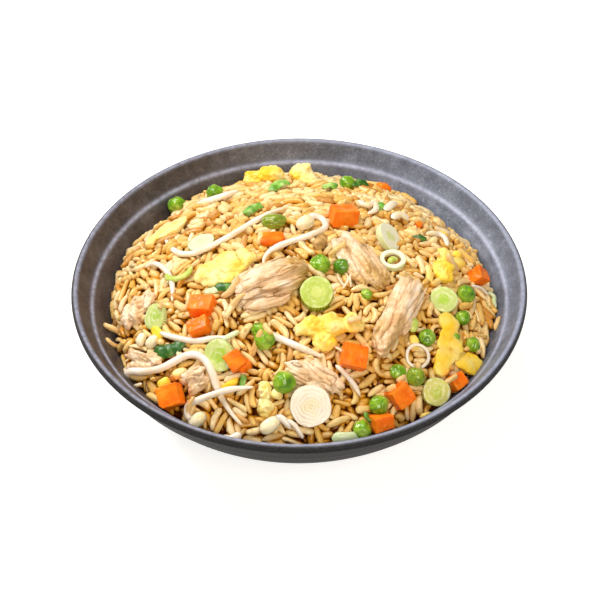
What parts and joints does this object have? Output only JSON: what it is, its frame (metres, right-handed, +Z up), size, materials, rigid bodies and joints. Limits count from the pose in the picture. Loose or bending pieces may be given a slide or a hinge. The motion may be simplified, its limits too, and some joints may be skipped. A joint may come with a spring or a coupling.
{
  "type": "bowl of fried rice",
  "caption": "A wide, shallow stoneware bowl heaped with fried rice, with chicken, egg, peas, carrot dice, bean sprouts and sliced spring onion on top.",
  "frame": {"origin": "centre of the foot ring, on the surface that the bowl stands on", "axes": "+Z up; the diner sits at -Y and +X is to the diner's right"},
  "size_m": [0.19, 0.19, 0.0701],
  "materials": {
    "stoneware": "dark slate-grey satin glaze, finely speckled",
    "rice": "long-grain rice fried in soy and oil, golden and moist",
    "pea": "cooked green peas, glossy and slightly wrinkled",
    "carrot": "cooked carrot, moist cut faces",
    "egg": "soft scrambled egg, satin",
    "chicken": "torn cooked chicken, fibrous",
    "sprout": "cooked bean sprouts, glossy and translucent",
    "onion": "cut spring onion, pale green rings"
  },
  "bodies": {
    "root": {"bowl": "stoneware", "rice_heap": "rice", "sprout_01": "sprout", "sprout_02": "sprout", "sprout_03": "sprout", "sprout_04": "sprout", "sprout_05": "sprout", "sprout_06": "sprout", "sprout_07": "sprout", "sprout_08": "sprout", "sprout_09": "sprout", "sprout_10": "sprout", "chicken_01": "chicken", "chicken_02": "chicken", "chicken_03": "chicken", "chicken_04": "chicken", "chicken_05": "chicken", "chicken_06": "chicken", "chicken_07": "chicken", "egg_01": "egg", "egg_02": "egg", "egg_03": "egg", "egg_04": "egg", "egg_05": "egg", "egg_06": "egg", "egg_07": "egg", "egg_08": "egg", "onion_01": "onion", "onion_02": "onion", "onion_03": "onion", "onion_04": "onion", "onion_05": "onion", "onion_06": "onion", "onion_07": "onion", "onion_08": "onion", "onion_09": "onion", "onion_10": "onion", "carrot_01": "carrot", "carrot_02": "carrot", "carrot_03": "carrot", "carrot_04": "carrot", "carrot_05": "carrot", "carrot_06": "carrot", "carrot_07": "carrot", "carrot_08": "carrot", "carrot_09": "carrot", "carrot_10": "carrot", "pea_01": "pea", "pea_02": "pea", "pea_03": "pea", "pea_04": "pea", "pea_05": "pea", "pea_06": "pea", "pea_07": "pea", "pea_08": "pea", "pea_09": "pea", "pea_10": "pea", "pea_11": "pea", "pea_12": "pea", "pea_13": "pea"}
  },
  "joints": []
}
